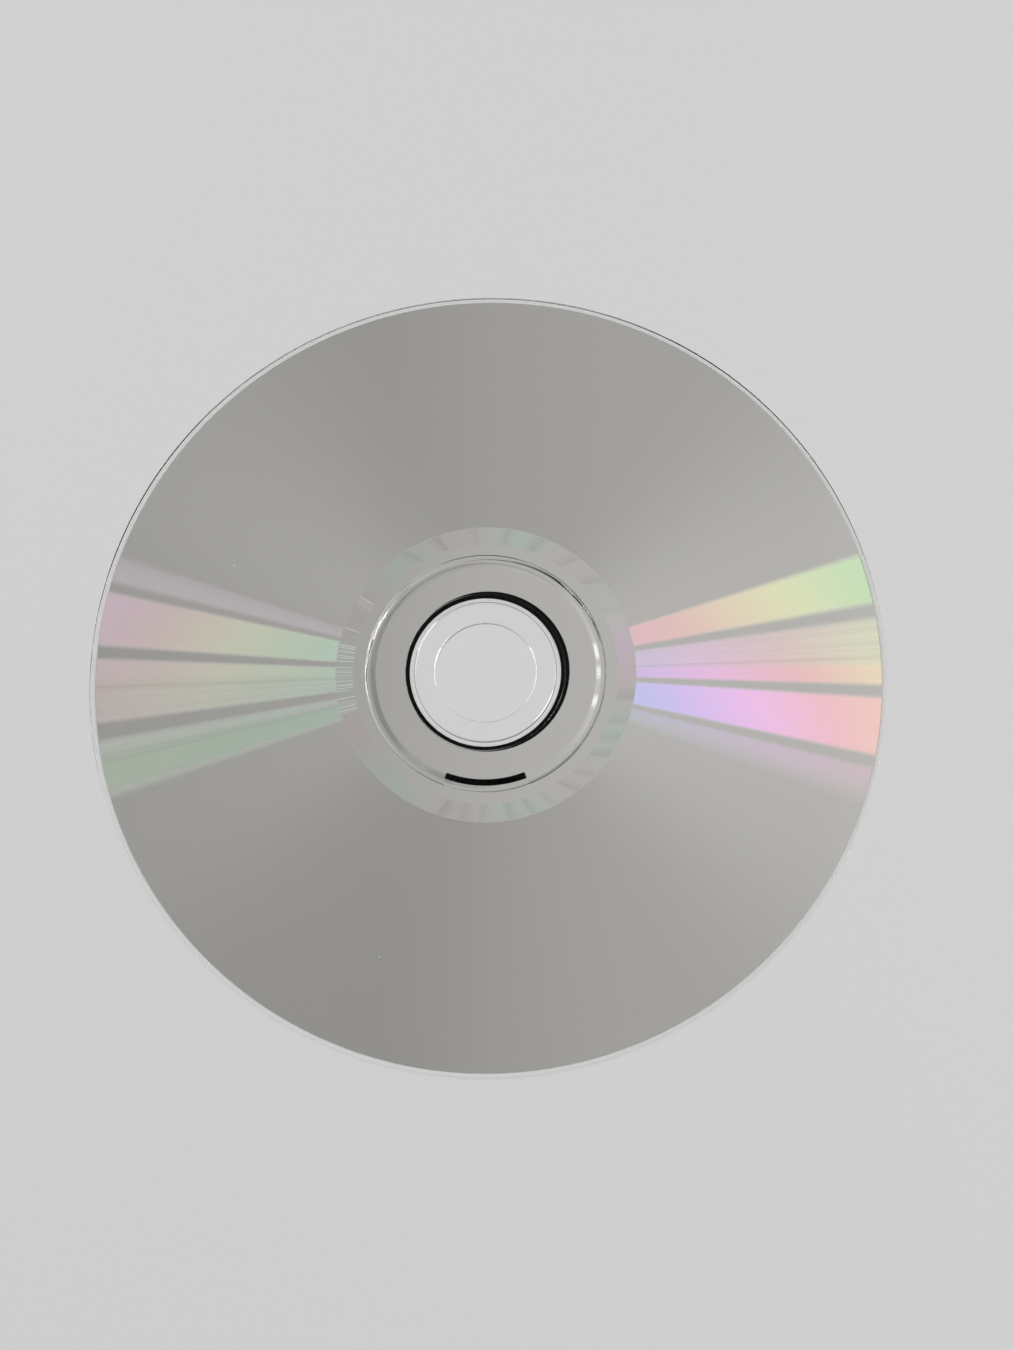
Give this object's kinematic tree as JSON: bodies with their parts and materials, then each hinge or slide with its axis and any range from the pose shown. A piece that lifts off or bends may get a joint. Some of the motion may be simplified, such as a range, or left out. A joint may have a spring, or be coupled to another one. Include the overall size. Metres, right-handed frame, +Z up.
{
  "type": "compact disc",
  "caption": "Flat clear plastic disc with a round centre hole, a raised stacking ring, a mirror film behind the plastic and a black printed underside.",
  "frame": {"origin": "centre of the hole at the printed underside, which the disc lies on", "axes": "+Z up out of the playing side along the hole's axis, +X to the right of the picture, +Y away from the viewer"},
  "size_m": [0.12, 0.12, 0.0015],
  "materials": {
    "clear_plastic": "clear polished moulding",
    "metal_film": "bright deposited metal",
    "clear_lacquer": "clear gloss lacquer",
    "black_ink": "satin screen ink"
  },
  "bodies": {
    "root": {"substrate": "clear_plastic", "reflective_layer": "metal_film", "lacquer_coat": "clear_lacquer", "label_print": "black_ink"}
  },
  "joints": []
}
